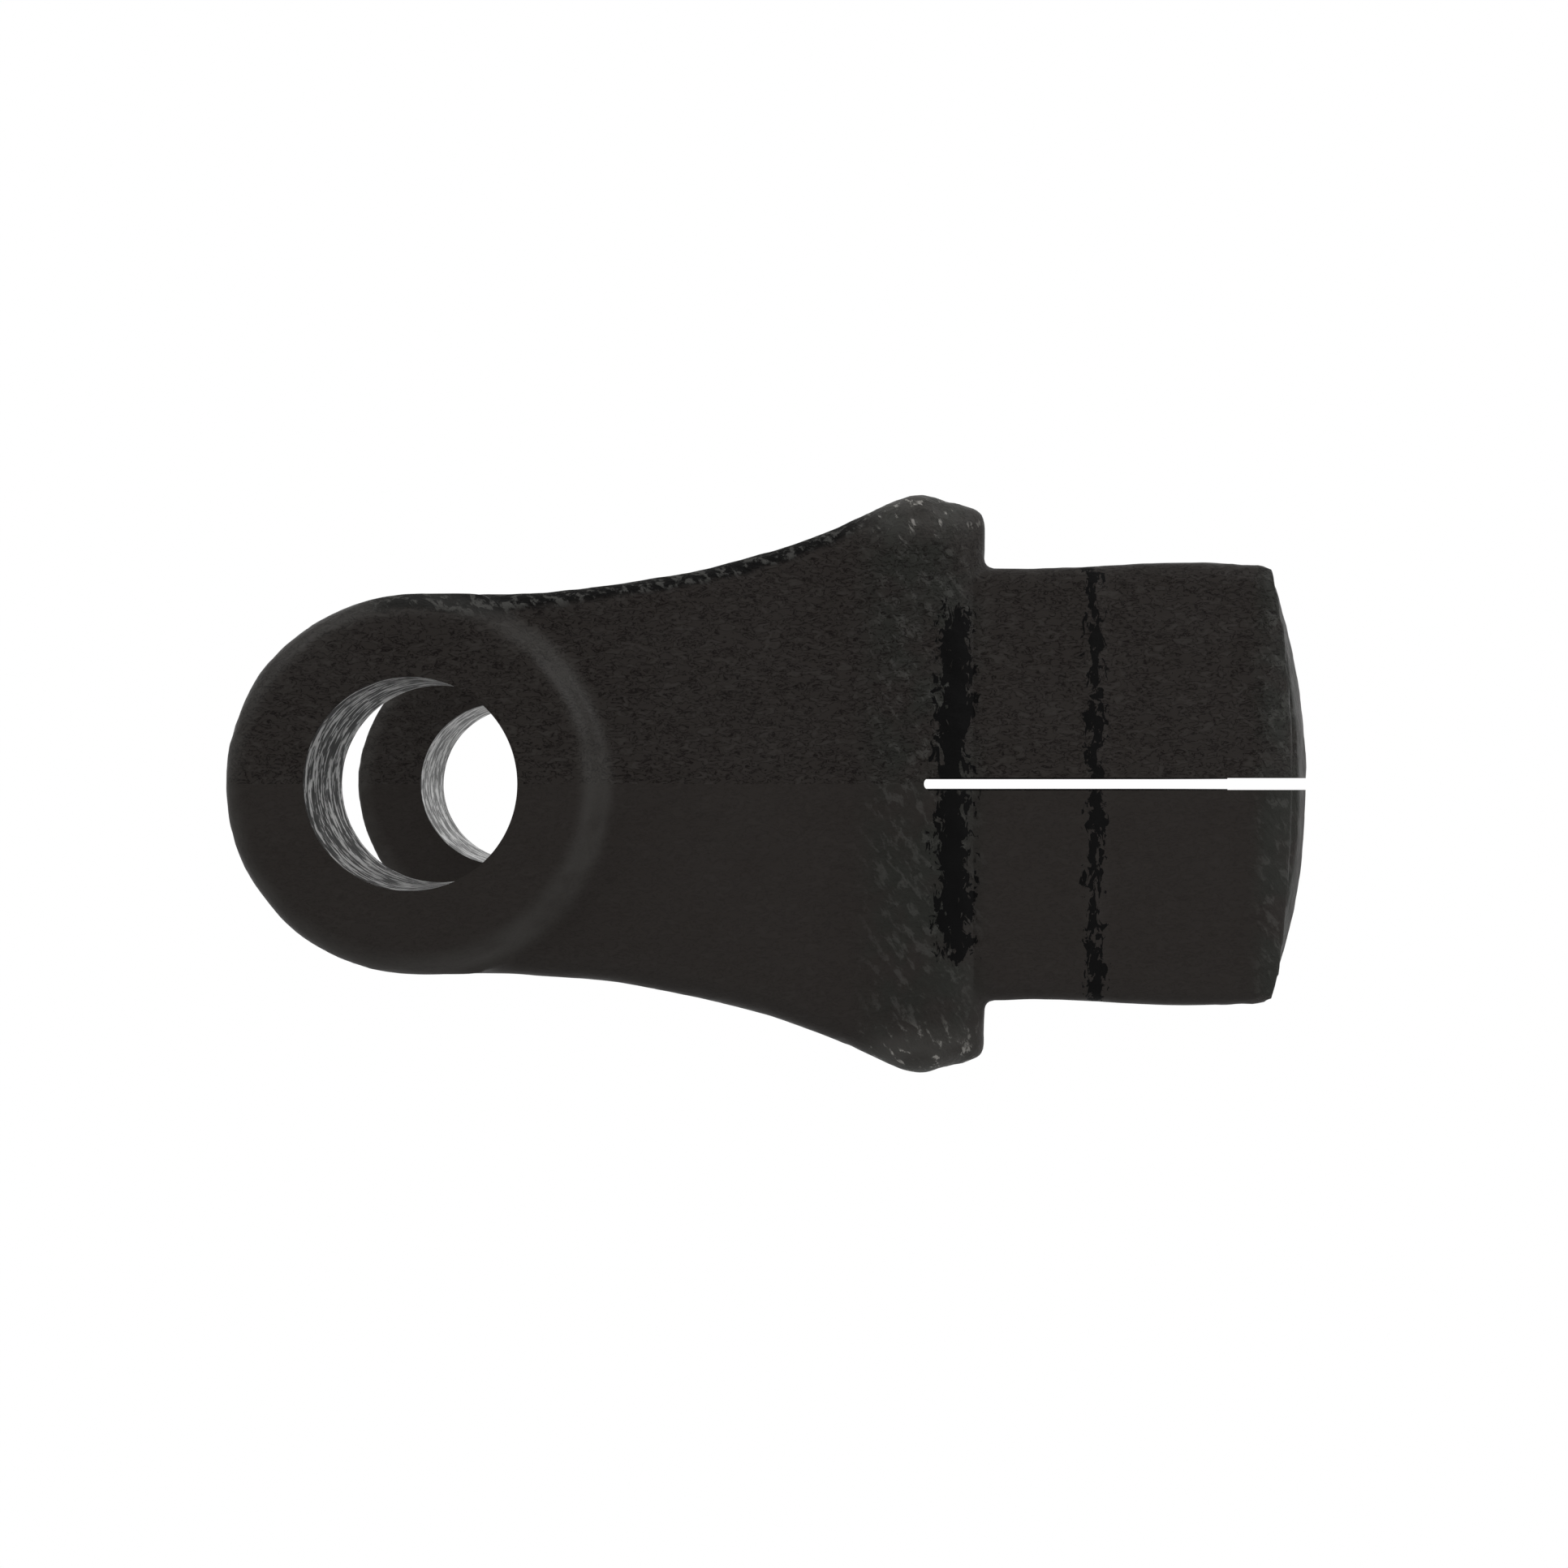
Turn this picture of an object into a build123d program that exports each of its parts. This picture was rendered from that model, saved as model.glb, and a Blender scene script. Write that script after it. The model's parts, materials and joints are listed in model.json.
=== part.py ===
from build123d import *
import math
import os

# A cast fork head for a bucket tooth: two ears on one pin bore, a flared neck that
# ends in a shouldered collar, and a square shank with a socket in its domed end.
# A saw cut splits the shank into an upper and a lower leaf.
# The origin is the middle of the pin axis. +X runs to the shank, +Y along the pin, +Z up.

# Pin bore, bushes and ears
PIN_RADIUS = 30.0
BUSH_WALL = 3.0
BUSH_CHAMFER = 0.8
EAR_RADIUS = 54.0
EAR_INNER_Y = 55.2
EAR_OUTER_Y = 97.7
EAR_EDGE = 8.0
EAR_INNER_EDGE = 3.0
SKIRT_TOP_RADIUS = 46.5
SKIRT_RADIUS = 57.0

# Half widths. The cheeks come in from CHEEK_Y at the ears to SHANK_Y at the collar.
CHEEK_Y = 91.5
SHANK_Y = 83.6
TAPER_START_X = 48.0
TAPER_END_X = 138.0

# Side outline of the neck and collar. Points are (X, Z).
WAIST = (17.0, 54.7)
FLARE_END = (137.0, 82.5)
RIDGE_RUN = 6.4
RIDGE_ROUND = 16.0
COLLAR_BACK_X = 163.5
COLLAR_BACK_Z = 79.8
COLLAR_ROUND = 4.0
BODY_EDGE = 8.0

# Gap between the ears, where the mating lug goes
THROAT_X = 74.0
THROAT_ROUND = 24.0

# Shank. Its top swells from SHANK_Z to SWELL_Z and falls again towards the end.
SHANK_Z = 63.0
SWELL_Z = 64.95
SWELL_START_X = 178.0
SWELL_TOP_X = 221.0
SHANK_END_Z = 59.6
SHANK_EDGE = 6.0

# End of the shank: a gently curved rim with a bolder dome standing out of it
RIM_TOP_X = 253.0
RIM_RADIUS = 306.0
DOME_TOP_X = 273.8
DOME_RADIUS_Y = 160.0
DOME_RADIUS_Z = 206.0

# Socket in the end of the shank
SOCKET_Y = 45.0
SOCKET_Z = 40.0
SOCKET_ROUND = 20.0
SOCKET_FLOOR_X = 184.0

# Saw cut
SLOT_HALF = 1.83
SLOT_ROOT_X = 146.8

# How far joined solids reach into each other, how far cutters reach, and when points coincide
OVERLAP = 2.0
BEYOND = 120.0
CLOSE = 0.01


def across(outline, half_width):
    """A prism of a side view outline, the same to each side of the middle."""
    return extrude(outline, half_width, both=True)


def slab(x_low, x_high, z_low, z_high):
    """A block across the whole width, between two X and two Z values."""
    middle = Pos((x_low + x_high) / 2, 0, (z_low + z_high) / 2)
    return middle * Box(x_high - x_low, 2 * BEYOND, z_high - z_low)


def neck_outline():
    """Side view of the neck and collar, from the pin axis to the collar's back face."""
    with BuildSketch(Plane.XZ) as sketch:
        with BuildLine():
            Line((0, EAR_RADIUS), WAIST)
            flare = TangentArc(WAIST, FLARE_END, tangent=(1, 0))
            ridge = flare @ 1 + RIDGE_RUN * (flare % 1)
            back = (COLLAR_BACK_X, COLLAR_BACK_Z)
            Polyline(FLARE_END, (ridge.X, ridge.Y), back, (COLLAR_BACK_X, 0), (0, 0), (0, EAR_RADIUS))
        make_face()
        top_corners = sketch.vertices().sort_by(Axis.Y)
        fillet(top_corners[-1], RIDGE_ROUND)
        back_corners = sketch.vertices().group_by(Axis.X)[-1].sort_by(Axis.Y)
        fillet(back_corners[-1], COLLAR_ROUND)
        mirror(about=Plane.XZ)
    return sketch.sketch


def long_edges(solid):
    """The edges along the top and bottom of a solid's two side faces."""
    def runs_along(edge):
        start, end = edge @ 0, edge @ 1
        on_side = min(abs(start.Y), abs(end.Y)) > SHANK_Y - CLOSE
        return on_side and start.Y * end.Y > 0 and abs(start.X - end.X) > CLOSE
    return solid.edges().filter_by(runs_along)


def neck_plan():
    """Top view of the neck and collar: the cheeks come in from the ears to the collar."""
    corner = (COLLAR_BACK_X, SHANK_Y)
    with BuildSketch() as sketch:
        with BuildLine():
            Line((0, CHEEK_Y), (TAPER_START_X, CHEEK_Y))
            Spline((TAPER_START_X, CHEEK_Y), (TAPER_END_X, SHANK_Y), tangents=((1, 0), (1, 0)))
            Polyline((TAPER_END_X, SHANK_Y), corner, (COLLAR_BACK_X, 0), (0, 0), (0, CHEEK_Y))
        make_face()
        mirror(about=Plane.XZ)
    return sketch.sketch


def neck():
    """The solid neck and collar with its long edges rounded."""
    solid = across(neck_outline(), BEYOND) & extrude(neck_plan(), BEYOND, both=True)
    return fillet(long_edges(solid), BODY_EDGE)


def shank_outline():
    """Side view of the shank, from inside the collar to beyond its end."""
    inside = COLLAR_BACK_X - OVERLAP
    end = DOME_TOP_X + OVERLAP
    swell_top = (SWELL_TOP_X, SWELL_Z)
    with BuildSketch(Plane.XZ) as sketch:
        with BuildLine():
            Line((inside, SHANK_Z), (SWELL_START_X, SHANK_Z))
            Spline((SWELL_START_X, SHANK_Z), swell_top, tangents=((1, 0), (1, 0)))
            TangentArc(swell_top, (end, SHANK_END_Z), tangent=(1, 0))
            Polyline((end, SHANK_END_Z), (end, 0), (inside, 0), (inside, SHANK_Z))
        make_face()
        mirror(about=Plane.XZ)
    return sketch.sketch


def rim():
    """A solid whose far side is the gently curved rim of the shank's end."""
    return Pos(RIM_TOP_X - RIM_RADIUS, 0, 0) * Rot(90, 0, 0) * Cylinder(RIM_RADIUS, 2 * BEYOND)


def dome():
    """A barrel turned about an axis along Y, whose far side is the dome of the shank's end."""
    reach = SHANK_Y + OVERLAP
    edge_x = DOME_TOP_X - DOME_RADIUS_Y + math.sqrt(DOME_RADIUS_Y ** 2 - reach ** 2)
    axis_x = DOME_TOP_X - DOME_RADIUS_Z
    with BuildSketch() as profile:
        with BuildLine():
            ThreePointArc((edge_x, -reach), (DOME_TOP_X, 0), (edge_x, reach))
            Polyline((edge_x, reach), (axis_x, reach), (axis_x, -reach), (edge_x, -reach))
        make_face()
    return revolve(profile.sketch, axis=Axis((axis_x, 0, 0), (0, 1, 0)))


def shank():
    """The shank with its rounded end and the socket in it."""
    solid = across(shank_outline(), SHANK_Y)
    solid = fillet(long_edges(solid), SHANK_EDGE)
    solid = solid & (rim() + dome())
    mouth = Plane.YZ.offset(SOCKET_FLOOR_X) * RectangleRounded(2 * SOCKET_Y, 2 * SOCKET_Z, SOCKET_ROUND)
    return solid - extrude(mouth, BEYOND)


def skirt():
    """A low bell about the Z axis: it runs the top of an ear's boss out into the cheek at Z = 0."""
    height = EAR_OUTER_Y - CHEEK_Y
    foot, top = (SKIRT_RADIUS, 0), (SKIRT_TOP_RADIUS, height)
    with BuildSketch(Plane.XZ) as profile:
        with BuildLine():
            Spline(top, foot, tangents=((1, 0), (1, 0)))
            Polyline(foot, (SKIRT_RADIUS, -OVERLAP), (0, -OVERLAP), (0, height), top)
        make_face()
    return revolve(profile.sketch, axis=Axis.Z)


def ear(side):
    """One ear's boss, run out into the cheek beside it. side is -1 or 1."""
    boss = Cylinder(EAR_RADIUS, EAR_OUTER_Y - EAR_INNER_Y)
    outer_edge, inner_edge = boss.edges().filter_by(GeomType.CIRCLE).sort_by(Axis.Z, reverse=True)
    boss = fillet(outer_edge, EAR_EDGE)
    boss = fillet(boss.edges().filter_by(GeomType.CIRCLE).sort_by(Axis.Z)[0], EAR_INNER_EDGE)
    outwards = Rot(-90 * side, 0, 0)
    boss = Pos(0, side * (EAR_INNER_Y + EAR_OUTER_Y) / 2, 0) * outwards * boss
    bell = Pos(0, side * CHEEK_Y, 0) * outwards * skirt()
    beside_neck = across(neck_outline(), BEYOND)
    return boss + (bell & beside_neck)


def throat():
    """The gap between the ears, open to the front, top and bottom."""
    front = -EAR_RADIUS - OVERLAP
    middle = Pos((front + THROAT_X) / 2, 0, 0)
    gap = middle * Box(THROAT_X - front, 2 * EAR_INNER_Y, 2 * BEYOND)
    upright = gap.edges().filter_by(Axis.Z).group_by(Axis.X)[-1]
    return fillet(upright, THROAT_ROUND)


def pin_hole(radius):
    """A cylinder along the pin axis, through both ears."""
    return Rot(90, 0, 0) * Cylinder(radius, 2 * BEYOND)


def slot():
    """The saw cut through the shank and the collar, with a round root."""
    cut = slab(SLOT_ROOT_X, DOME_TOP_X + OVERLAP, -SLOT_HALF, SLOT_HALF)
    root = Pos(SLOT_ROOT_X, 0, 0) * Rot(90, 0, 0) * Cylinder(SLOT_HALF, 2 * BEYOND)
    return cut + root


def casting():
    """The whole casting in one piece, before it is divided at the root of the saw cut."""
    solid = neck() - throat() + ear(-1) + ear(1) + shank()
    return solid - pin_hole(PIN_RADIUS + BUSH_WALL) - slot()


def fork_body(whole):
    """Ears, neck and the front of the collar, as far as the root of the saw cut."""
    return whole & slab(-BEYOND, SLOT_ROOT_X, -BEYOND, BEYOND)


def shank_leaf(whole, side):
    """The half of the shank above (1) or below (-1) the saw cut."""
    low, high = sorted((0, side * BEYOND))
    return whole & slab(SLOT_ROOT_X, DOME_TOP_X + OVERLAP, low, high)


def bush(side):
    """A plain bush pressed into one ear, flush with both of its faces."""
    length = EAR_OUTER_Y - EAR_INNER_Y
    sleeve = Cylinder(PIN_RADIUS + BUSH_WALL, length) - Cylinder(PIN_RADIUS, length)
    inner = sleeve.edges().filter_by(GeomType.CIRCLE).group_by(SortBy.RADIUS)[0]
    sleeve = chamfer(inner, BUSH_CHAMFER)
    return Pos(0, side * (EAR_INNER_Y + length / 2), 0) * Rot(90, 0, 0) * sleeve


def write(name, shape):
    """Writes one named piece to its own file."""
    shape.label = name
    export_step(shape, f"parts/{name}.step")


def main():
    os.makedirs("parts", exist_ok=True)
    whole = casting()
    write("fork_body", fork_body(whole))
    write("upper_shank_leaf", shank_leaf(whole, 1))
    write("lower_shank_leaf", shank_leaf(whole, -1))
    write("near_ear_bush", bush(-1))
    write("far_ear_bush", bush(1))


main()
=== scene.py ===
"""Looks of a cast fork head for a bucket tooth: its rough black skin, its bored bushes and its stage."""

import json
import math

import bmesh
import bpy
from bpy.props import FloatProperty, FloatVectorProperty, IntProperty, PointerProperty
from mathutils import Matrix, Vector, noise


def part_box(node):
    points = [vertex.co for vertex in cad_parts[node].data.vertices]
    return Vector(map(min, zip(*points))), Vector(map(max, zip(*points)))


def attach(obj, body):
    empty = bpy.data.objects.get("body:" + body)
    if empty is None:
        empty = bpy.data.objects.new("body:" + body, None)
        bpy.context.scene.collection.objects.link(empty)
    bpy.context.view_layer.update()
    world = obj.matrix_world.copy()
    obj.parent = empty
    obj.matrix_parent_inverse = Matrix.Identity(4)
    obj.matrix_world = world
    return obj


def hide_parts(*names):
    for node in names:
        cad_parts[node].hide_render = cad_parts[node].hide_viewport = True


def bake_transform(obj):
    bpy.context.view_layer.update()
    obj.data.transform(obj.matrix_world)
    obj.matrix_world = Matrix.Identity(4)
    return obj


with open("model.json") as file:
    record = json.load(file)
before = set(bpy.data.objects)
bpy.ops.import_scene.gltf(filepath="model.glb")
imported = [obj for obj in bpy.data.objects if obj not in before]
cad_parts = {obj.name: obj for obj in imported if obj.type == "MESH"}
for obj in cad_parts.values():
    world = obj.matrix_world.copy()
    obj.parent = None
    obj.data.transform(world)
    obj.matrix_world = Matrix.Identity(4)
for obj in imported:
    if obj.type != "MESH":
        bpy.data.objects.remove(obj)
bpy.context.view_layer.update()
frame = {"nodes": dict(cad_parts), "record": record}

bl_info = {
    "name": "Cast Fork Head",
    "version": (1, 0, 0),
    "blender": (4, 5, 0),
    "location": "3D View > Sidebar > Fork Head",
    "description": "Builds the casting's skin, the pin bushes and the studio of a bucket tooth's fork head",
    "category": "Object",
}

MM = 0.001
FORK, UPPER, LOWER = "fork_body", "upper_shank_leaf", "lower_shank_leaf"
CASTING_NODES = (FORK, UPPER, LOWER)
# Name of the mask of the upward-facing top edge, which is painted as shade
SHADED_TOP = "shaded_top"

fork_low, fork_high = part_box(FORK)
leaf_low, leaf_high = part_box(UPPER)
bush_low, bush_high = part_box("far_ear_bush")
EAR_RADIUS = -fork_low.x
EAR_OUTER_Y = fork_high.y
EAR_INNER_Y = bush_low.y
SLOT_ROOT_X = fork_high.x
SLOT_HALF = leaf_low.z
SHANK_END_X = leaf_high.x
SIDE_Y = leaf_high.y
BUSH_OUTER = bush_high.x
PIN_RADIUS = frame["record"]["mounts"][0]["dims"]["r_mm"] * MM

# Where the side relief lies along X, measured from the root of the saw cut
RIDGE_FOOT_X = SLOT_ROOT_X - 34 * MM
RIDGE_X = SLOT_ROOT_X - 2 * MM
COLLAR_BACK_X = SLOT_ROOT_X + 16.7 * MM
STEP_START_X = SLOT_ROOT_X + 44 * MM
STEP_END_X = SLOT_ROOT_X + 53 * MM
END_ROUND_X = SHANK_END_X - 31.5 * MM
END_ROUND_RUN = 12 * MM
END_ROUND_MOST = 1.25

# How the CAD's own openings are closed before the skin is made
PILOT_SHARE = 0.7
SAWN_OVERLAP = 1 * MM
ROOT_OVERLAP = 3 * MM

# Boring bar and bushes
BAR_LENGTH = 2.4 * EAR_OUTER_Y
BUSH_SET_BACK = 0.4 * MM
BUSH_CHAMFER = 0.15 * MM
BUSH_WALL_GAP = 0.3 * MM


class ForkSizes(bpy.types.PropertyGroup):
    voxel: FloatProperty(
        name="Skin voxel", description="Cell size of the casting's skin",
        default=1.45 * MM, min=0.5 * MM, unit="LENGTH")
    edge_passes: IntProperty(
        name="Edge passes", description="Smoothing passes that round the cast edges", default=8, min=0)
    skirt_passes: IntProperty(
        name="Skirt passes", description="Smoothing passes that run each ear's boss out into the cheek",
        default=8, min=0)
    side_ridge: FloatProperty(
        name="Side ridge", description="Height of the collar's ridge on each side of the neck",
        default=2.2 * MM, unit="LENGTH")
    shank_step: FloatProperty(
        name="Shank step", description="How much narrower each side of the shank is towards its end",
        default=1.1 * MM, unit="LENGTH")
    grain_height: FloatProperty(
        name="Grain height", description="Height of the sand-cast grain", default=0.16 * MM, unit="LENGTH")
    end_round: FloatProperty(
        name="End rounding", description="How far the shank's sides turn in before its domed end",
        default=1.4 * MM, unit="LENGTH")
    dressed_height: FloatProperty(
        name="Dressed height", unit="LENGTH", default=0.30 * MM,
        description="Height of the hammer-like marks by the collar and the shank's end")
    wave_height: FloatProperty(
        name="Wave height", description="Height of the casting's broad unevenness",
        default=0.35 * MM, unit="LENGTH")
    bore_clearance: FloatProperty(
        name="Bore lip", description="How far the painted lip stands back from the bush's bore",
        default=0.12 * MM, unit="LENGTH")


def colour(name, description, *value):
    """A colour setting with its red, green and blue."""
    return FloatVectorProperty(
        name=name, description=description, subtype="COLOR", size=4, default=(*value, 1), min=0, max=1)


class ForkColours(bpy.types.PropertyGroup):
    coating: colour("Coating", "Black coating on the casting", 0.0200, 0.0175, 0.0159)
    # Painted reflection: greenish grey tint by the collar and the shank's end
    reflection_green: colour(
        "Greenish coating", "Coating by the collar and the shank's end", 0.0180, 0.0184, 0.0162)
    # Painted highlight: light grey for wrinkle crests, flecks by collar, shank end and top edge, boss
    # shoulder and collar corners
    painted_highlight: colour("Worn coating", "Coating where it is thin on high grain", 0.088, 0.087, 0.082)
    # Bare-metal flecks on the collar's outer corners, brightened as painted highlight
    fleck: colour("Bare fleck", "Bare metal showing through on exposed edges", 0.30, 0.29, 0.27)
    # Painted shade: dark lines along the fine wrinkles
    wrinkle_shade: colour("Wrinkle lines", "Coating down in the fine wrinkles", 0.0040, 0.0030, 0.0028)
    # Painted shade: near black for the ragged bands on collar and shank and for the upward-facing top edge
    painted_shade: colour(
        "Pooled coating", "Thick, deep black coating that pooled in the shallow hollows",
        0.0010, 0.0010, 0.0010)
    bored: colour("Bored steel", "Bare steel of the bores", 0.50, 0.50, 0.495)
    scored: colour("Scored steel", "Dark marks in the bores", 0.012, 0.012, 0.012)


class ForkSettings(bpy.types.PropertyGroup):
    sizes: PointerProperty(type=ForkSizes)
    colours: PointerProperty(type=ForkColours)


# ---- Shape helpers ----

def ease(value, low, high):
    """0 below low, 1 above high, and a smooth curve between them."""
    share = min(max((value - low) / (high - low), 0), 1)
    return share * share * (3 - 2 * share)


def object_from(bm, name):
    """A new linked object with this bmesh, which is freed."""
    mesh = bpy.data.meshes.new(name)
    bm.to_mesh(mesh)
    bm.free()
    made = bpy.data.objects.new(name, mesh)
    bpy.context.scene.collection.objects.link(made)
    return made


def bake_modifiers(obj):
    """Replaces an object's mesh by its mesh with all modifiers applied."""
    depsgraph = bpy.context.evaluated_depsgraph_get()
    baked = bpy.data.meshes.new_from_object(obj.evaluated_get(depsgraph))
    old = obj.data
    obj.modifiers.clear()
    obj.data = baked
    bpy.data.meshes.remove(old)


def discard(obj):
    """Removes a helper object and its mesh."""
    mesh = obj.data
    bpy.data.objects.remove(obj)
    bpy.data.meshes.remove(mesh)


def radius_about_pin(co):
    return math.hypot(co.x, co.z)


# ---- The casting's skin ----

def closed_blank():
    """The casting as one blank: the three CAD nodes run together, with no saw cut and small pilot bores."""
    bm = bmesh.new()
    for name in CASTING_NODES:
        part = bmesh.new()
        part.from_mesh(frame["nodes"][name].data)
        bmesh.ops.remove_doubles(part, verts=part.verts, dist=0.001 * MM)
        if name == FORK:
            bored = [v for v in part.verts if radius_about_pin(v.co) < BUSH_OUTER + 0.2 * MM]
            bmesh.ops.scale(part, vec=(PILOT_SHARE, 1, PILOT_SHARE), verts=bored)
        else:
            side = 1 if name == UPPER else -1
            sawn = [v for v in part.verts if abs(v.co.z) < SLOT_HALF + 0.1 * MM]
            bmesh.ops.translate(part, vec=(0, 0, -side * (SLOT_HALF + SAWN_OVERLAP)), verts=sawn)
            root = [v for v in part.verts if v.co.x < SLOT_ROOT_X + 0.1 * MM]
            bmesh.ops.translate(part, vec=(-ROOT_OVERLAP, 0, 0), verts=root)
        merged = bpy.data.meshes.new("blank_part")
        part.to_mesh(merged)
        part.free()
        bm.from_mesh(merged)
        bpy.data.meshes.remove(merged)
    return object_from(bm, "casting_blank")


def edge_softness(co):
    """How fully the cast edges are rounded: less at the collar's back and around the shank's end."""
    collar = 0.9 * ease(co.x, COLLAR_BACK_X - 9 * MM, COLLAR_BACK_X - 4 * MM)
    shank = 0.4 * ease(co.x, COLLAR_BACK_X + 4 * MM, COLLAR_BACK_X + 12 * MM)
    end = ease(co.x, SHANK_END_X - 36 * MM, SHANK_END_X - 28 * MM)
    upper_corner = ease(co.z, 50 * MM, 56 * MM)
    return 1 - max(collar - shank, (0.97 - 0.5 * upper_corner) * end)


def skirt_softness(co):
    """Where the boss of each ear runs out into the cheek in a wide, soft fillet."""
    radius = radius_about_pin(co)
    ring = ease(radius, EAR_RADIUS - 7 * MM, EAR_RADIUS - 2 * MM)
    ring *= 1 - ease(radius, EAR_RADIUS + 6 * MM, EAR_RADIUS + 14 * MM)
    below_top = 1 - ease(abs(co.z), EAR_RADIUS - 12 * MM, EAR_RADIUS - 3 * MM)
    return ring * below_top * ease(co.x, 4 * MM, 16 * MM) * ease(abs(co.y), SIDE_Y - 8 * MM, SIDE_Y - 2 * MM)


def smooth_by(obj, passes, softness):
    """Smooths a mesh, each point as much as softness says of its place."""
    group = obj.vertex_groups.new(name=softness.__name__)
    for vert in obj.data.vertices:
        group.add([vert.index], softness(vert.co), "REPLACE")
    smooth = obj.modifiers.new(group.name, "SMOOTH")
    smooth.factor = 0.5
    smooth.iterations = passes
    smooth.vertex_group = group.name
    bake_modifiers(obj)
    obj.vertex_groups.clear()


def soften(blank, sizes):
    """Runs the blank's nodes into one skin of even cells and rounds its edges as casting does."""
    remesh = blank.modifiers.new("Even cells", "REMESH")
    remesh.mode = "VOXEL"
    remesh.voxel_size = sizes.voxel
    bake_modifiers(blank)
    smooth_by(blank, sizes.edge_passes, edge_softness)
    smooth_by(blank, sizes.skirt_passes, skirt_softness)


def side_relief(co, sizes):
    """How far a point of the flat sides stands out: the collar's ridge, less the step of the shank."""
    on_side = ease(abs(co.y), SIDE_Y - 14 * MM, SIDE_Y - 5 * MM)
    ridge = ease(co.x, RIDGE_FOOT_X, RIDGE_X) * (1 - ease(co.x, RIDGE_X, COLLAR_BACK_X))
    step = ease(co.x, STEP_START_X, STEP_END_X)
    turn_in = min(max(co.x - END_ROUND_X, 0) / END_ROUND_RUN, END_ROUND_MOST)
    return on_side * (sizes.side_ridge * ridge - sizes.shank_step * step - sizes.end_round * turn_in ** 3)


def hammered(co):
    """Where the mould was dressed by hand: the foot of the collar's ridge and the shank's end."""
    foot = ease(co.x, RIDGE_FOOT_X - 6 * MM, RIDGE_X - 8 * MM)
    foot *= 1 - ease(co.x, RIDGE_X + 12 * MM, COLLAR_BACK_X)
    end = ease(co.x, END_ROUND_X - 10 * MM, END_ROUND_X)
    end *= 1 - ease(co.x, END_ROUND_X + 5 * MM, END_ROUND_X + 12 * MM)
    return max(foot, end)


def grain(co, sizes):
    """Height of the cast surface above its true shape."""
    streak = Vector((co.x * 0.55, co.y, co.z))
    broad = noise.fractal(streak / (16 * MM), 1.0, 2.0, 2)
    fine = noise.fractal(streak / (4.2 * MM), 0.8, 2.1, 2)
    dressed = noise.fractal(Vector((co.x, co.y, co.z * 0.8)) / (5.5 * MM), 0.9, 2.0, 2)
    roughest = 0.5 if co.z < 0 else 1.0
    height = sizes.wave_height * broad + sizes.grain_height * fine * roughest
    return height + sizes.dressed_height * dressed * hammered(co)


def roughen(blank, sizes):
    """Moves every point of the skin for the side relief and the grain."""
    bm = bmesh.new()
    bm.from_mesh(blank.data)
    bm.normal_update()
    moves = []
    for vert in bm.verts:
        outward = Vector((0, math.copysign(1, vert.co.y), 0))
        moves.append(outward * side_relief(vert.co, sizes) + vert.normal * grain(vert.co, sizes))
    for vert, move in zip(bm.verts, moves):
        vert.co += move
    bm.to_mesh(blank.data)
    bm.free()


def slot_cutter():
    """A saw blade's path: a long tongue with a round root, wider than the shank."""
    bm = bmesh.new()
    bmesh.ops.create_circle(
        bm, cap_ends=True, segments=48, radius=SLOT_HALF,
        matrix=Matrix.Translation((SLOT_ROOT_X, 0, 0)) @ Matrix.Rotation(math.pi / 2, 4, "X"))
    tip = [v for v in bm.verts if v.co.x > SLOT_ROOT_X]
    bmesh.ops.translate(bm, vec=(SHANK_END_X - SLOT_ROOT_X + 20 * MM, 0, 0), verts=tip)
    grown = bmesh.ops.extrude_face_region(bm, geom=bm.faces[:])
    moved = [g for g in grown["geom"] if isinstance(g, bmesh.types.BMVert)]
    bmesh.ops.translate(bm, vec=(0, 2 * EAR_OUTER_Y, 0), verts=moved)
    bmesh.ops.translate(bm, vec=(0, -EAR_OUTER_Y, 0), verts=bm.verts)
    bmesh.ops.recalc_face_normals(bm, faces=bm.faces)
    return object_from(bm, "slot_cutter")


def bore_cutter(sizes):
    """The boring bar's path through both ears."""
    bm = bmesh.new()
    bmesh.ops.create_cone(
        bm, cap_ends=True, segments=160, radius1=PIN_RADIUS + sizes.bore_clearance,
        radius2=PIN_RADIUS + sizes.bore_clearance, depth=BAR_LENGTH,
        matrix=Matrix.Rotation(math.pi / 2, 4, "X"))
    return object_from(bm, "bore_cutter")


def machine(blank, cutters):
    """Cuts the saw slot and the bores out of the rough skin."""
    for cutter in cutters:
        cut = blank.modifiers.new("Machined", "BOOLEAN")
        cut.operation = "DIFFERENCE"
        cut.solver = "EXACT"
        cut.object = cutter
    bake_modifiers(blank)
    for cutter in cutters:
        discard(cutter)


def mark_shaded_top(mesh):
    """Stores the mask of the upward-facing top edge, all along the upper edge of ears and neck: it gets
    painted shade, painted highlight flecks, higher roughness and a coarse bump.
    """
    shaded_top = mesh.attributes.new(SHADED_TOP, "FLOAT", "POINT")
    for vert, stored in zip(mesh.vertices, shaded_top.data):
        upward = ease(vert.normal.z, 0.34, 0.52)
        ears_and_neck = 1 - ease(vert.co.x, RIDGE_X - 26 * MM, RIDGE_X - 8 * MM)
        behind_rim = ease(vert.co.x, -0.35 * EAR_RADIUS, -0.1 * EAR_RADIUS)
        at_the_top = ease(vert.co.z, 0.84 * EAR_RADIUS, 0.94 * EAR_RADIUS)
        stored.value = upward * ears_and_neck * behind_rim * at_the_top


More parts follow.
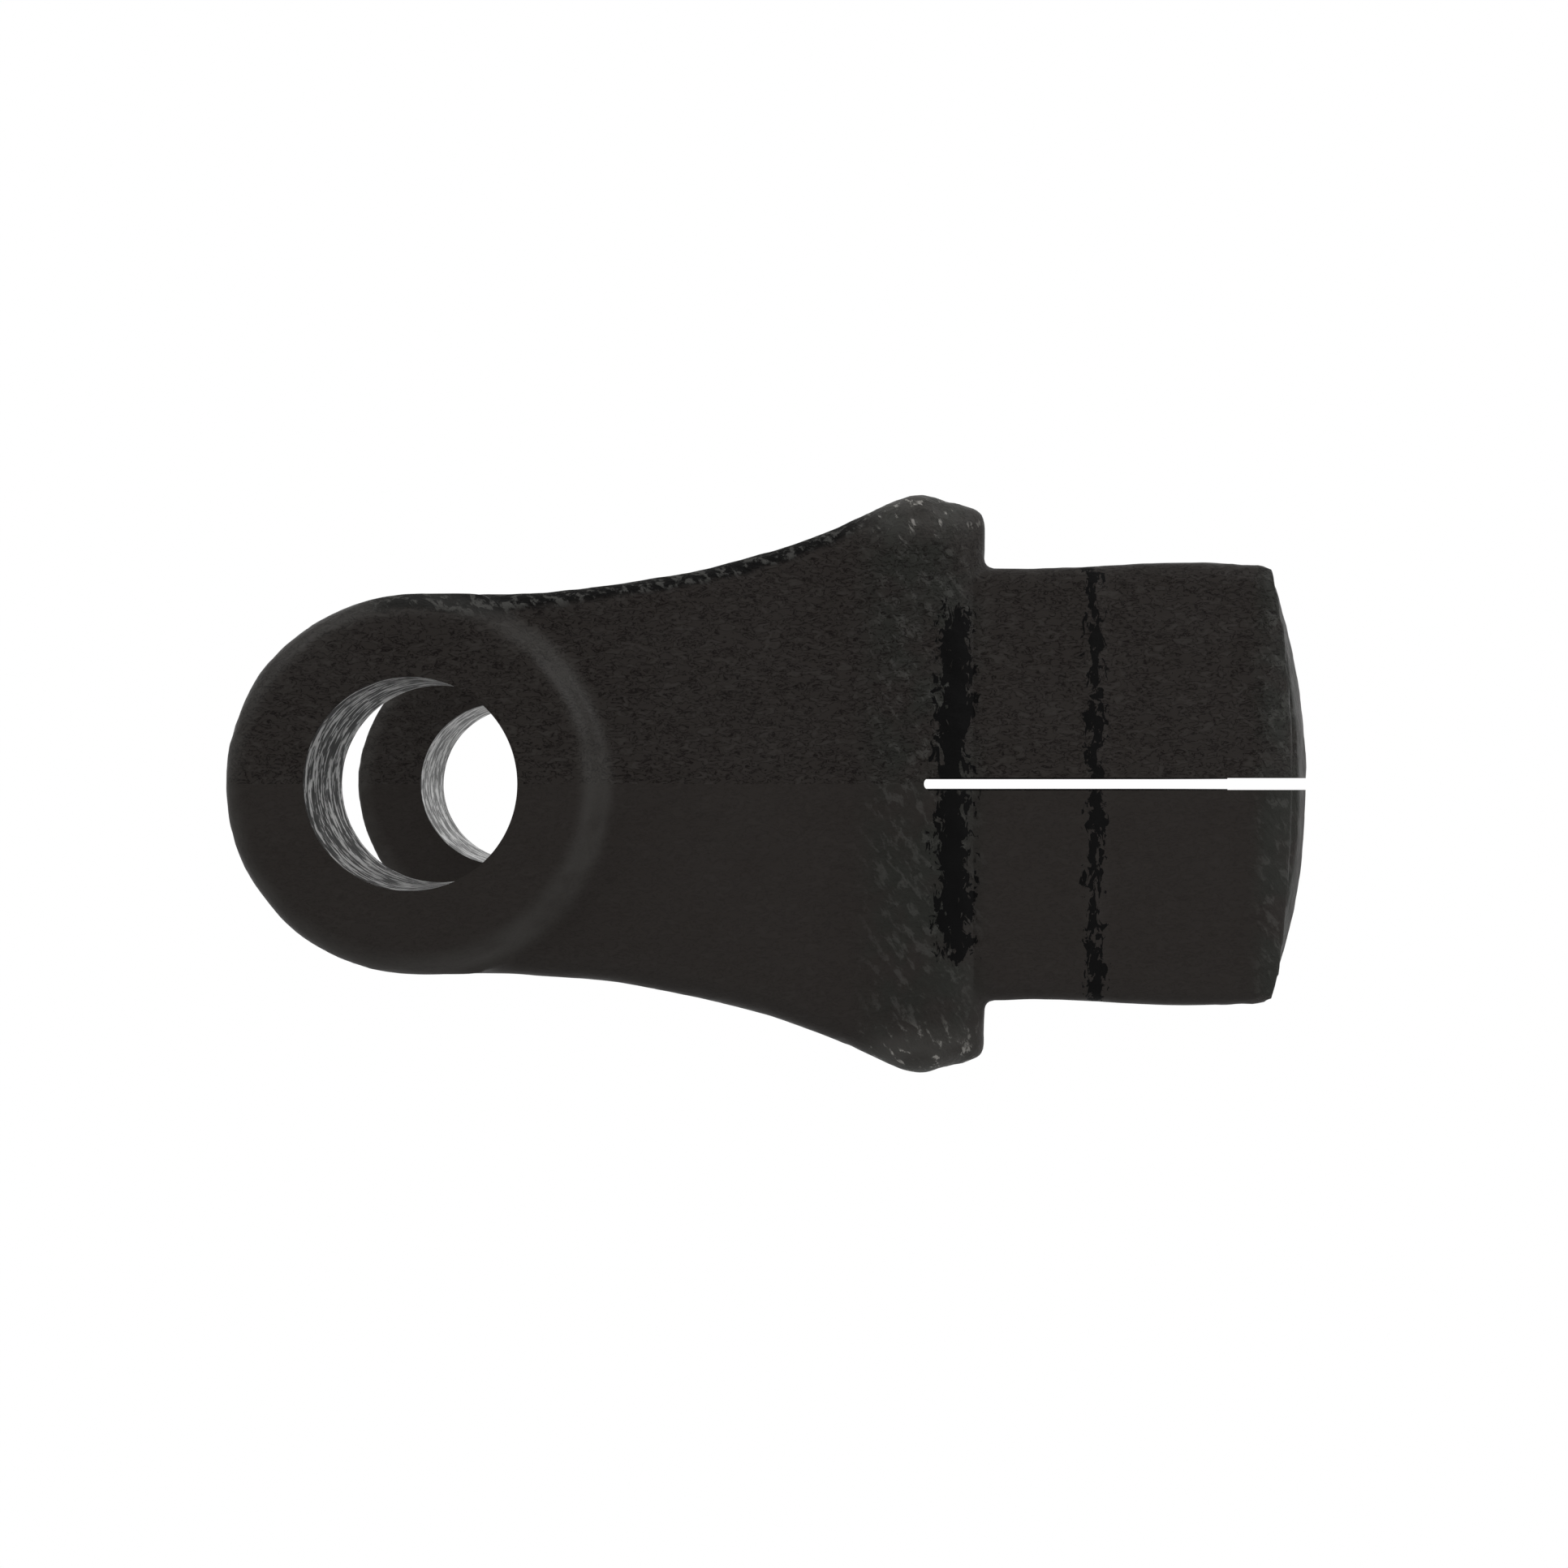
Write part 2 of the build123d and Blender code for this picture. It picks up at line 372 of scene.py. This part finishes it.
def mould_half(blank, side):
    """The half of the skin above (1) or below (-1) the parting plane, closed along it."""
    bm = bmesh.new()
    bm.from_mesh(blank.data)
    everything = bm.verts[:] + bm.edges[:] + bm.faces[:]
    bmesh.ops.bisect_plane(bm, geom=everything, plane_co=(0, 0, 0), plane_no=(0, 0, side), clear_inner=True)
    rim = [e for e in bm.edges if e.is_boundary]
    bmesh.ops.holes_fill(bm, edges=rim, sides=0)
    bmesh.ops.triangulate(bm, faces=bm.faces[:])
    name = "casting_upper_half" if side > 0 else "casting_lower_half"
    half = object_from(bm, name)
    half.data.shade_smooth()
    half.data.set_sharp_from_angle(angle=math.radians(48))
    mark_shaded_top(half.data)
    return half


# ---- Materials ----

class Graph:
    """Small helper that adds and links shader nodes."""

    def __init__(self, name):
        self.material = bpy.data.materials.new(name)
        self.material.use_nodes = True
        self.tree = self.material.node_tree
        self.shader = self.tree.nodes["Principled BSDF"]

    def add(self, kind, inputs=None, **settings):
        node = self.tree.nodes.new(kind)
        for key, value in settings.items():
            setattr(node, key, value)
        for key, value in (inputs or {}).items():
            if isinstance(value, bpy.types.NodeSocket):
                self.tree.links.new(value, node.inputs[key])
            else:
                node.inputs[key].default_value = value
        return node

    def math(self, operation, a, b=0.0):
        return self.add("ShaderNodeMath", {0: a, 1: b}, operation=operation).outputs[0]

    def fade(self, value, low, high, to_low=0.0, to_high=1.0):
        made = self.add(
            "ShaderNodeMapRange",
            {"Value": value, "From Min": low, "From Max": high, "To Min": to_low, "To Max": to_high},
            interpolation_type="SMOOTHSTEP")
        return made.outputs["Result"]

    def mix(self, factor, first, second):
        made = self.add("ShaderNodeMix", {"Factor": factor}, data_type="RGBA")
        for socket, value in ((made.inputs[6], first), (made.inputs[7], second)):
            if isinstance(value, bpy.types.NodeSocket):
                self.tree.links.new(value, socket)
            else:
                socket.default_value = value
        return made.outputs[2]

    def mix_values(self, factor, first, second):
        made = self.add("ShaderNodeMix", {"Factor": factor, 2: first, 3: second}, data_type="FLOAT")
        return made.outputs[0]

    def noise(self, vector, scale, detail=3.0, roughness=0.55, distortion=0.0):
        made = self.add(
            "ShaderNodeTexNoise",
            {"Vector": vector, "Scale": scale, "Detail": detail, "Roughness": roughness,
             "Distortion": distortion})
        return made.outputs["Fac"]

    def link(self, output, socket):
        self.tree.links.new(output, self.shader.inputs[socket])


def ragged_band(graph, place, ragged, middle, half_width, top, fullness):
    """A ragged upright stripe of painted shade on the two sides, around X = middle and below |Z| = top."""
    away = graph.math("ABSOLUTE", graph.math("SUBTRACT", place.outputs["X"], middle))
    across = graph.fade(away, 0.0, half_width, fullness, 0.0)
    height = graph.math("ABSOLUTE", place.outputs["Z"])
    along = graph.fade(height, top - 7 * MM, top + 3 * MM, 1.0, 0.0)
    sideways = graph.math("ABSOLUTE", place.outputs["Y"])
    on_side = graph.fade(sideways, SIDE_Y - 8 * MM, SIDE_Y - 5 * MM)
    strength = graph.math("MULTIPLY", graph.math("MULTIPLY", across, along), on_side)
    lifted = graph.math("ADD", strength, graph.math("SUBTRACT", ragged, 1.0))
    return graph.fade(lifted, 0.0, 0.06)


def stretched_noise(graph, where, stretch, scale, detail, roughness, distortion):
    """Noise whose spots are longer along an axis with a small stretch value."""
    drawn = graph.add("ShaderNodeMapping", {"Vector": where, "Scale": stretch}).outputs[0]
    return graph.noise(drawn, scale, detail, roughness, distortion)


def banded(graph, where, place):
    """Painted shade: a ragged upright black band on the collar and a thinner one on the shank."""
    spread = stretched_noise(graph, where, (1.0, 1.0, 0.55), 420.0, 4.0, 0.6, 1.0)
    ragged = graph.fade(spread, 0.34, 0.66)
    drift = graph.math("MULTIPLY", graph.math("SUBTRACT", graph.noise(where, 28.0, 1.0), 0.5), 7 * MM)
    collar_middle = graph.math("ADD", drift, SLOT_ROOT_X + 7.6 * MM)
    shank_middle = graph.math("ADD", graph.math("MULTIPLY", drift, 0.5), SLOT_ROOT_X + 47.8 * MM)
    collar_band = ragged_band(graph, place, ragged, collar_middle, 8.6 * MM, 52 * MM, 1.10)
    shank_band = ragged_band(graph, place, ragged, shank_middle, 4.8 * MM, 90 * MM, 0.84)
    return graph.math("MAXIMUM", collar_band, shank_band)


def near_plane(graph, place, middle, full, gone):
    """1 within full of the plane X = middle, and 0 beyond gone."""
    away = graph.math("ABSOLUTE", graph.math("SUBTRACT", place.outputs["X"], middle))
    return graph.fade(away, full, gone, 1.0, 0.0)


def coated_casting(name, colours, fine_grain):
    """Rough-cast iron under a satin black coating, with painted shade, painted highlights and a painted
    reflection tint in its colour. fine_grain sets how much fine wrinkle it shows, with its painted crest
    highlight and crease shade.
    """
    graph = Graph(name)
    where = graph.add("ShaderNodeTexCoord").outputs["Object"]
    place = graph.add("ShaderNodeSeparateXYZ", {0: where})
    shaded_top = graph.add("ShaderNodeAttribute", attribute_name=SHADED_TOP).outputs["Fac"]

    wrinkle = stretched_noise(graph, where, (0.45, 1.0, 1.0), 700.0, 3.0, 0.55, 0.9)
    lump = stretched_noise(graph, where, (0.45, 1.0, 1.0), 105.0, 2.0, 0.5, 0.4)
    slanted = graph.add("ShaderNodeMapping", {"Vector": where, "Rotation": (0, math.radians(35), 0)})
    chips = stretched_noise(graph, slanted.outputs[0], (1.0, 1.0, 0.45), 400.0, 4.0, 0.65, 0.25)
    dust = graph.noise(where, 1700.0, 2.0, 0.6)
    # Painted shade: mask of the ragged black bands, which also raises roughness and drops the chip bump there
    painted_shade = banded(graph, where, place)

    collar = near_plane(graph, place, RIDGE_X, 8 * MM, 22 * MM)
    shank_end = near_plane(graph, place, SHANK_END_X - 18 * MM, 6 * MM, 14 * MM)
    dressed = graph.math("MAXIMUM", collar, shank_end)
    outer_z = graph.fade(graph.math("ABSOLUTE", place.outputs["Z"]), 66 * MM, 80 * MM)
    corner = graph.math("MULTIPLY", collar, outer_z)
    squared = [graph.math("POWER", place.outputs[axis], 2.0) for axis in "XZ"]
    radius = graph.math("SQRT", graph.math("ADD", *squared))
    off_shoulder = graph.math("ABSOLUTE", graph.math("SUBTRACT", radius, EAR_RADIUS - 2 * MM))
    shoulder = graph.fade(off_shoulder, 1 * MM, 6 * MM, 1.0, 0.0)
    # Painted highlight zone: the collar's outer corners and a ring on each ear's boss shoulder
    highlight_zone = graph.math("MAXIMUM", corner, graph.math("MULTIPLY", shoulder, 0.45))

    # Painted reflection: greenish grey tint, in patches, by the collar and the shank's end
    green = graph.math("MULTIPLY", graph.fade(graph.noise(where, 60.0, 2.0), 0.35, 0.6), dressed)
    base = graph.mix(green, colours.coating, colours.reflection_green)
    # Painted highlight: lighter grey on the crests of the fine wrinkles
    high = graph.fade(wrinkle, 0.56, 0.68)
    base = graph.mix(graph.math("MULTIPLY", high, 0.08 * fine_grain), base, colours.painted_highlight)
    # Painted highlight: light flecks by the collar and the shank's end
    painted_glints = graph.math("MULTIPLY", graph.fade(chips, 0.52, 0.62), dressed)
    base = graph.mix(graph.math("MULTIPLY", painted_glints, 0.22), base, colours.painted_highlight)
    # Painted shade: dark lines along the fine wrinkles
    line = graph.math("ABSOLUTE", graph.math("SUBTRACT", wrinkle, 0.5))
    base = graph.mix(graph.fade(line, 0.0, 0.042, 0.95 * fine_grain, 0.0), base, colours.wrinkle_shade)
    # Painted shade: the upward-facing top edge painted near black
    base = graph.mix(graph.math("MULTIPLY", shaded_top, 0.95), base, colours.painted_shade)
    # Painted highlight: light flecks on that top edge
    painted_top_glints = graph.math("MULTIPLY", graph.fade(chips, 0.50, 0.60), shaded_top)
    base = graph.mix(graph.math("MULTIPLY", painted_top_glints, 0.45), base, colours.painted_highlight)
    # Painted highlight: lighter grey on the boss shoulder ring and the collar's outer corners
    thin = graph.math("MULTIPLY", highlight_zone, graph.fade(lump, 0.30, 0.65, 0.16, 0.40))
    base = graph.mix(thin, base, colours.painted_highlight)
    # Bare-metal flecks on the collar's outer corners, brightened as painted highlight
    bare_and_glint = graph.math("MULTIPLY", graph.fade(chips, 0.58, 0.66), graph.math("MULTIPLY", corner, 0.7))
    base = graph.mix(bare_and_glint, base, colours.fleck)
    # Painted shade: the ragged bands painted near black over all the rest
    graph.link(graph.mix(painted_shade, base, colours.painted_shade), "Base Color")

    sheen = graph.fade(lump, 0.3, 0.7, 0.38, 0.50)
    graph.link(graph.mix_values(painted_shade, graph.mix_values(shaded_top, sheen, 0.75), 0.65), "Roughness")
    graph.shader.inputs["Specular IOR Level"].default_value = 0.07

    chipped = graph.math("ADD", 0.10, graph.math("MULTIPLY", dressed, 0.7))
    chip_height = graph.math("MULTIPLY", chips, graph.mix_values(painted_shade, chipped, 0.0))
    shaded_top_height = graph.math("MULTIPLY", chips, shaded_top)
    normal = None
    for height, strength, distance in (
        (wrinkle, 0.45 * fine_grain, 0.5 * MM), (lump, 0.35, 1.4 * MM), (chip_height, 0.7, 1.0 * MM),
        (shaded_top_height, 0.9, 1.5 * MM), (dust, 0.06, 0.12 * MM),
    ):
        bump = graph.add("ShaderNodeBump", {"Height": height, "Strength": strength, "Distance": distance})
        if normal:
            graph.tree.links.new(normal, bump.inputs["Normal"])
        normal = bump.outputs["Normal"]
    graph.link(normal, "Normal")
    return graph.material


def bored_steel(name, colours):
    """Bare steel with the boring bar's marks running round the bore."""
    graph = Graph(name)
    where = graph.add("ShaderNodeTexCoord").outputs["Object"]
    place = graph.add("ShaderNodeSeparateXYZ", {0: where})
    turn = graph.math("ARCTAN2", place.outputs["X"], place.outputs["Z"])
    round_bore = graph.add("ShaderNodeCombineXYZ", {
        0: graph.math("MULTIPLY", graph.math("SINE", turn), 0.20),
        1: graph.math("MULTIPLY", place.outputs["Y"], 24.0),
        2: graph.math("MULTIPLY", graph.math("COSINE", turn), 0.20)}).outputs[0]
    marks = graph.noise(round_bore, 20.0, 3.0, 0.65, 0.3)
    near_ear = graph.fade(place.outputs["Y"], -EAR_INNER_Y, EAR_INNER_Y, 1.0, 0.8)
    dark = graph.math("MULTIPLY", graph.fade(marks, 0.455, 0.49), near_ear)
    graph.link(graph.mix(dark, colours.bored, colours.scored), "Base Color")
    graph.link(graph.fade(marks, 0.3, 0.7, 0.30, 0.55), "Roughness")
    graph.shader.inputs["Metallic"].default_value = 0.75
    scoring = graph.add("ShaderNodeBump", {"Height": marks, "Strength": 0.6, "Distance": 0.3 * MM})
    graph.link(scoring.outputs["Normal"], "Normal")
    return graph.material


# ---- Operators ----

class FORK_OT_casting_skin(bpy.types.Operator):
    """Builds the rough black skin of the casting in two mould halves"""
    bl_idname = "fork.casting_skin"
    bl_label = "Casting Skin"

    def execute(self, context):
        settings = context.scene.fork_head
        sizes, colours = settings.sizes, settings.colours
        blank = closed_blank()
        soften(blank, sizes)
        roughen(blank, sizes)
        machine(blank, [slot_cutter(), bore_cutter(sizes)])
        if len(blank.data.polygons) < 1000:
            raise RuntimeError("the casting's skin came out empty")
        halves = ((1, UPPER, "upper_leaf", 1.0), (-1, LOWER, "lower_leaf", 0.25))
        for side, leaf, body, fine_grain in halves:
            half = mould_half(blank, side)
            half.data.materials.clear()
            half.data.materials.append(coated_casting(f"coating_{body}", colours, fine_grain))
            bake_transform(half)
            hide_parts(FORK, leaf)
            print(half.name, "triangles", len(half.data.polygons))
        discard(blank)
        return {"FINISHED"}


class FORK_OT_bushes(bpy.types.Operator):
    """Builds the two bored bushes, set back a little behind the painted lip of each ear"""
    bl_idname = "fork.bushes"
    bl_label = "Pin Bushes"

    def execute(self, context):
        settings = context.scene.fork_head
        steel = bored_steel("bored_steel", settings.colours)
        coating = coated_casting("coating_bush_ends", settings.colours, 0.4)
        inner_y, outer_y = EAR_INNER_Y + BUSH_SET_BACK, EAR_OUTER_Y - BUSH_SET_BACK
        wall = BUSH_OUTER - BUSH_WALL_GAP
        section = (
            (PIN_RADIUS, inner_y + BUSH_CHAMFER), (PIN_RADIUS + BUSH_CHAMFER, inner_y),
            (wall, inner_y), (wall, outer_y),
            (PIN_RADIUS + BUSH_CHAMFER, outer_y), (PIN_RADIUS, outer_y - BUSH_CHAMFER))
        for side, node in ((-1, "near_ear_bush"), (1, "far_ear_bush")):
            bm = bmesh.new()
            ring = [bm.verts.new((0, side * y, r)) for r, y in section]
            edges = [bm.edges.new((ring[i - 1], ring[i])) for i in range(len(ring))]
            bmesh.ops.spin(
                bm, geom=ring + edges, cent=(0, 0, 0), axis=(0, 1, 0), angle=2 * math.pi,
                steps=180, use_merge=True, use_duplicate=False)
            bmesh.ops.recalc_face_normals(bm, faces=bm.faces)
            bush = object_from(bm, node.replace("ear_bush", "bored_bush"))
            bush.data.shade_smooth()
            bush.data.set_sharp_from_angle(angle=math.radians(30))
            bush.data.materials.append(steel)
            bush.data.materials.append(coating)
            for face in bush.data.polygons:
                if radius_about_pin(face.center) > PIN_RADIUS + BUSH_CHAMFER / 4:
                    face.material_index = 1
            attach(bush, "fork")
            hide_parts(node)
        return {"FINISHED"}


class FORK_OT_stage(bpy.types.Operator):
    """Sets the pale floor, the soft lights and the camera"""
    bl_idname = "fork.stage"
    bl_label = "Stage"

    def execute(self, context):
        scene = context.scene
        scene.view_settings.view_transform = "Standard"
        self.backdrop(scene)
        self.floor()
        self.lights()
        self.camera(scene)
        return {"FINISHED"}

    def backdrop(self, scene):
        """A white surround: bright where it is seen, softer where it lights the part."""
        world = bpy.data.worlds.new("studio")
        scene.world = world
        world.use_nodes = True
        nodes, links = world.node_tree.nodes, world.node_tree.links
        seen = nodes["Background"]
        seen.inputs["Strength"].default_value = 1.0
        seen.inputs["Color"].default_value = (1, 1, 1, 1)
        lighting = nodes.new("ShaderNodeBackground")
        lighting.inputs["Color"].default_value = (1, 1, 1, 1)
        direction = nodes.new("ShaderNodeSeparateXYZ")
        links.new(nodes.new("ShaderNodeTexCoord").outputs["Generated"], direction.inputs[0])
        behind = nodes.new("ShaderNodeMapRange")
        behind.interpolation_type = "SMOOTHSTEP"
        for socket, value in (("From Min", -0.9), ("From Max", 0.6), ("To Min", 0.02), ("To Max", 0.9)):
            behind.inputs[socket].default_value = value
        links.new(direction.outputs["Y"], behind.inputs["Value"])
        links.new(behind.outputs["Result"], lighting.inputs["Strength"])
        path = nodes.new("ShaderNodeLightPath")
        mix = nodes.new("ShaderNodeMixShader")
        links.new(path.outputs["Is Camera Ray"], mix.inputs[0])
        links.new(lighting.outputs[0], mix.inputs[1])
        links.new(seen.outputs[0], mix.inputs[2])
        links.new(mix.outputs[0], nodes["World Output"].inputs["Surface"])

    def floor(self):
        """A wide white floor well below the part."""
        bm = bmesh.new()
        bmesh.ops.create_grid(bm, x_segments=1, y_segments=1, size=30.0)
        bmesh.ops.translate(bm, vec=(0, 0, -0.30), verts=bm.verts)
        floor = object_from(bm, "floor")
        material = bpy.data.materials.new("white_floor")
        material.use_nodes = True
        nodes, links = material.node_tree.nodes, material.node_tree.links
        shader = nodes["Principled BSDF"]
        shader.inputs["Base Color"].default_value = (0.8, 0.8, 0.8, 1)
        glow = nodes.new("ShaderNodeEmission")
        path = nodes.new("ShaderNodeLightPath")
        mix = nodes.new("ShaderNodeMixShader")
        links.new(path.outputs["Is Camera Ray"], mix.inputs[0])
        links.new(shader.outputs[0], mix.inputs[1])
        links.new(glow.outputs[0], mix.inputs[2])
        links.new(mix.outputs[0], nodes["Material Output"].inputs["Surface"])
        floor.data.materials.append(material)

    def lights(self):
        """Soft lights to the upper left, upper right, right and below, all clear of straight ahead."""
        for name, place, size, power in (
            ("upper_left_light", (-0.75, -0.70, 0.80), 0.6, 9.0),
            ("upper_right_light", (0.95, -0.60, 0.80), 0.6, 9.0),
            ("right_light", (1.00, -0.75, 0.0), 0.5, 2.2),
            ("lower_light", (0.10, -0.55, -1.0), 0.6, 6.0),
        ):
            data = bpy.data.lights.new(name, "AREA")
            data.size = size
            data.energy = power
            light = bpy.data.objects.new(name, data)
            aim = Vector((0.1, 0, 0)) - Vector(place)
            light.rotation_euler = aim.to_track_quat("-Z", "Y").to_euler()
            light.location = place
            bpy.context.scene.collection.objects.link(light)

    def camera(self, scene):
        """Looks level along the pin axis from the side, square to the part."""
        data = bpy.data.cameras.new("camera")
        data.sensor_width = 36.0
        data.lens = 38.59
        data.clip_start = 0.01
        camera = bpy.data.objects.new("camera", data)
        camera.location = (0.1048, -0.5684, 0)
        camera.rotation_euler = (math.pi / 2, 0, 0)
        scene.collection.objects.link(camera)
        scene.camera = camera


class FORK_PT_panel(bpy.types.Panel):
    """Lists the steps that build the fork head"""
    bl_label = "Fork Head"
    bl_idname = "FORK_PT_panel"
    bl_space_type = "VIEW_3D"
    bl_region_type = "UI"
    bl_category = "Fork Head"

    def draw(self, context):
        settings = context.scene.fork_head
        for group in (settings.sizes, settings.colours):
            for name in group.__annotations__:
                self.layout.prop(group, name)
        for step in STEPS:
            self.layout.operator(step.bl_idname)


STEPS = (FORK_OT_casting_skin, FORK_OT_bushes, FORK_OT_stage)
CLASSES = (ForkSizes, ForkColours, ForkSettings) + STEPS + (FORK_PT_panel,)


def register():
    for cls in CLASSES:
        bpy.utils.register_class(cls)
    bpy.types.Scene.fork_head = PointerProperty(type=ForkSettings)


def unregister():
    del bpy.types.Scene.fork_head
    for cls in reversed(CLASSES):
        bpy.utils.unregister_class(cls)


def main():
    register()
    bpy.ops.fork.casting_skin()
    bpy.ops.fork.bushes()
    bpy.ops.fork.stage()


if __name__ == "__main__":
    main()
